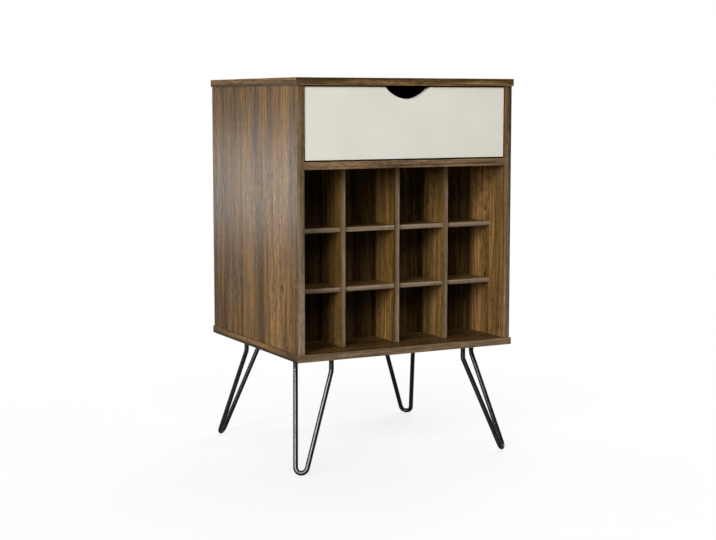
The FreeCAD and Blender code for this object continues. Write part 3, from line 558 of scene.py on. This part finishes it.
def finish_boards():
    # Painted light and shade: front_painted_light and end_painted_light make the edges and ends lighter or
    # darker across their thickness. The top's front edge is painted darker above and its end lighter above,
    # the bottom's end nearly black below and the rail's edge lighter above. The bottom's low level darkens it
    # as painted shade on the rack's floor, and its front edge is painted lighter again.
    walnut(
        "top_panel", "x", seed=31.0, band=TOP_EDGE_TONE, band_share=(0.80, 0.80), front_painted_light=(1.16, 0.55),
        end_painted_light=(0.84, 1.60), lines=0.44,
    )
    walnut(
        "bottom_panel", "x", seed=12.0, level=0.58, band_share=(0.32, 0.32), front_painted_light=(1.82, 1.57),
        end_painted_light=(0.07, 2.27), lines=0.44, calm=0.35,
    )
    walnut(
        "drawer_shelf", "x", seed=57.0, specular=0.15, band=RAIL_EDGE_TONE, band_share=(0.80, 0.80),
        front_painted_light=(0.72, 1.14), lines=0.46,
    )
    # The two sides share one print, and their levels are painted light: the right side is painted lighter for
    # its inner face, which lies in shade. front_painted_light and front_painted_shade paint shade on their
    # front edges, deepest at the top of one side. band_share gives the front edges more of the grey band
    # towards the bottom, partly the band's print and partly a painted sheen.
    for name, level, front_painted_light, front_painted_shade in (
        ("left_side_panel", 1.19, (1.24, 1.11), 0.36),
        ("right_side_panel", 1.52, (1.14, 0.72), 0.50),
    ):
        walnut(
            name, "z", seed=3.0, level=level, band_share=(0.82, 0.40), front_painted_light=front_painted_light,
            front_painted_shade=front_painted_shade, calm=0.35, patches=SIDE_PATCHES, knots=SIDE_KNOTS,
        )
    # The rack's back wall is painted darker, as shade in the compartments.
    walnut("rack_back", "z", seed=71.0, tones=SHADED_BACK_TONES)
    # Each divider's level is painted light for how brightly its compartment wall is lit. front_painted_light
    # paints a brighter arris at one side of its front edge, and the patches paint light on its rear and
    # lowest parts.
    for name, seed, level, front_painted_light in (
        ("left_divider", 23.0, 1.36, (0.66, 0.97)),
        ("middle_divider", 45.0, 1.25, (0.88, 1.20)),
        ("right_divider", 66.0, 1.03, (0.71, 1.08)),
    ):
        walnut(
            name, "z", seed=seed, tones=OLIVE_TONES, level=level, bend=0.026, band_share=(0.74, 0.74),
            front_painted_light=front_painted_light, calm=0.5, patches=DIVIDER_PAINTED_LIGHT,
        )
    # front_painted_light paints the shelves' front edges darker below and lighter above, as painted shade and
    # light.
    for name, seed, front_painted_light in (
        ("upper_rack_shelf", 84.0, (0.54, 0.97)),
        ("lower_rack_shelf", 99.0, (0.50, 0.95)),
    ):
        walnut(
            name, "x", seed=seed, tones=OLIVE_TONES, band=SHELF_BAND_TONE, band_share=(1.0, 1.0),
            front_painted_light=front_painted_light, lines=0.20, calm=0.6,
        )


def finish_rest():
    dress(pale_front(), "drawer_front")
    dress(drawer_board(), "drawer_left_side", "drawer_right_side", "drawer_back", "drawer_bottom")
    dress(rear_hardboard(), "back_panel")
    dress(black_steel(), *LEGS, *[corner + "_plate" for corner in CORNERS])
    black_screw = metal(
        "black_screw", shade(0.018, 0.018, 0.019), shade(0.045, 0.045, 0.046), rough=0.42, scale=900.0,
        metallic=0.7,
    )
    dress(black_screw, "leg_screws")
    zinc = metal("zinc_steel", shade(0.48, 0.48, 0.47), shade(0.66, 0.66, 0.64), rough=0.30, scale=500.0)
    dress(
        zinc, "back_nails", "cabinet_rail_screws", "cabinet_roller_pins", "carcass_cam_bolts",
        "drawer_cam_bolts", "drawer_rail_screws", "drawer_roller_pins", "drawer_screws",
    )
    cast = metal("cam_zinc", shade(0.36, 0.36, 0.355), shade(0.54, 0.54, 0.53), rough=0.48, scale=1300.0)
    dress(cast, "carcass_cam_locks", "drawer_cam_locks")
    dress(dowel_wood(), "carcass_dowels", "rack_dowels")
    dress(rail_steel(), *[s + "_cabinet_rail" for s in SIDES], *[s + "_drawer_rail" for s in SIDES])
    dress(roller_plastic(), *[s + "_cabinet_roller" for s in SIDES], *[s + "_drawer_roller" for s in SIDES])


def floor():
    """A pale floor that keeps a soft shadow near the cabinet and turns into plain white further out."""
    half = FLOOR_HALF_SIZE
    mesh = bpy.data.meshes.new("floor")
    corners = [(-half, -half, 0.0), (half, -half, 0.0), (half, half, 0.0), (-half, half, 0.0)]
    mesh.from_pydata(corners, [], [(0, 1, 2, 3)])
    f = Finish("floor")
    x, y, _ = f.split(f.place)
    distance = f.math("SQRT", f.plus(f.times(x, x), f.times(y, y)))
    path = f.add("ShaderNodeLightPath").outputs
    mirrored = f.times(path["Is Glossy Ray"], MIRRORED_SHADOW_SHARE)
    shadow = f.largest(f.remap(distance, SHADOW_START, SHADOW_END, SHADOW_SHARE, 0.0), mirrored)
    seen = f.largest(f.largest(path["Is Camera Ray"], path["Is Glossy Ray"]), path["Is Transmission Ray"])
    matt = f.add("ShaderNodeBsdfDiffuse", {"Color": FLOOR_TONE})
    dull = f.add("ShaderNodeBsdfDiffuse", {"Color": FLOOR_BOUNCE_TONE})
    white = f.add("ShaderNodeEmission", {"Color": WHITE, "Strength": 1.0})
    pale = f.add("ShaderNodeMixShader", {0: shadow, 1: white.outputs[0], 2: matt.outputs[0]})
    both = f.add("ShaderNodeMixShader", {0: seen, 1: dull.outputs[0], 2: pale.outputs[0]})
    f.feed(f.output.inputs["Surface"], both.outputs[0])
    mesh.materials.append(f.material)
    piece = bpy.data.objects.new("floor", mesh)
    bpy.context.scene.collection.objects.link(piece)


def sky():
    """White to the eye, with a low fill of light. Gloss mirrors a white rear and a dim front."""
    world = bpy.data.worlds.new("studio")
    bpy.context.scene.world = world
    world.use_nodes = True
    n = Nodes(world.node_tree)
    path = n.add("ShaderNodeLightPath").outputs
    direction = n.split(n.add("ShaderNodeTexCoord").outputs["Generated"])
    rear = n.remap(direction[1], -SKY_TURN, SKY_TURN, SKY_FRONT_IN_MIRRORS, 1.0)
    mirrored = n.times(path["Is Glossy Ray"], rear)
    seen = n.largest(path["Is Camera Ray"], path["Is Transmission Ray"])
    background = world.node_tree.nodes["Background"].inputs
    n.feed(background["Color"], WHITE)
    n.feed(background["Strength"], n.largest(n.largest(seen, mirrored), SKY_FILL))


def soft_box(name, place, aim, size, watts):
    lamp = bpy.data.lights.new(name, "AREA")
    lamp.shape = "RECTANGLE"
    lamp.size, lamp.size_y = size
    lamp.energy = watts
    piece = bpy.data.objects.new(name, lamp)
    piece.location = place
    piece.rotation_euler = (Vector(aim) - Vector(place)).to_track_quat("-Z", "Y").to_euler()
    piece.visible_camera = False
    bpy.context.scene.collection.objects.link(piece)
    return piece


def lights():
    """Soft studio lamps. The strip and the glint give gloss only, and the glint lights the legs alone."""
    soft_box("key", place=(-6.13, -4.46, 3.10), aim=(0.0, 0.0, 0.50), size=(3.0, 4.2), watts=703.0)
    soft_box("front", place=(-1.19, -4.44, 3.79), aim=(0.0, 0.0, 0.45), size=(3.0, 2.2), watts=123.0)
    strip = soft_box(
        "strip", place=(-1.67, 1.85, 0.439), aim=(-0.25, 0.0, 0.58), size=(1.6, 0.36), watts=27.0
    )
    soft_box("above", place=(0.2, 0.5, 3.0), aim=(0.0, 0.0, 0.6), size=(1.4, 1.4), watts=30.0)
    soft_box("rear", place=(2.1, 2.0, 1.4), aim=(0.0, 0.0, 0.45), size=(1.2, 1.4), watts=80.0)
    glint = soft_box(
        "glint", place=(-1.70, -1.43, 1.00), aim=(0.0, 0.0, 0.10), size=(0.9, 1.4), watts=500.0
    )
    for lamp in (strip, glint):
        lamp.visible_diffuse = False
    rods = bpy.data.collections.new("rods")
    for name in LEGS:
        rods.objects.link(NODES[name])
    glint.light_linking.receiver_collection = rods


def camera():
    lens = bpy.data.cameras.new("camera")
    lens.sensor_width = SENSOR_MM
    lens.lens = LENS_MM
    lens.shift_y = LENS_SHIFT
    piece = bpy.data.objects.new("camera", lens)
    piece.location = CAMERA_PLACE
    piece.rotation_euler = (math.radians(90.0) - CAMERA_LOOKS_DOWN, 0.0, CAMERA_HEADING)
    bpy.context.scene.collection.objects.link(piece)
    bpy.context.scene.camera = piece


finish_boards()
finish_rest()
ease_edges(EASED_BOARDS)
floor()
sky()
lights()
camera()
bpy.context.scene.view_settings.view_transform = "Standard"
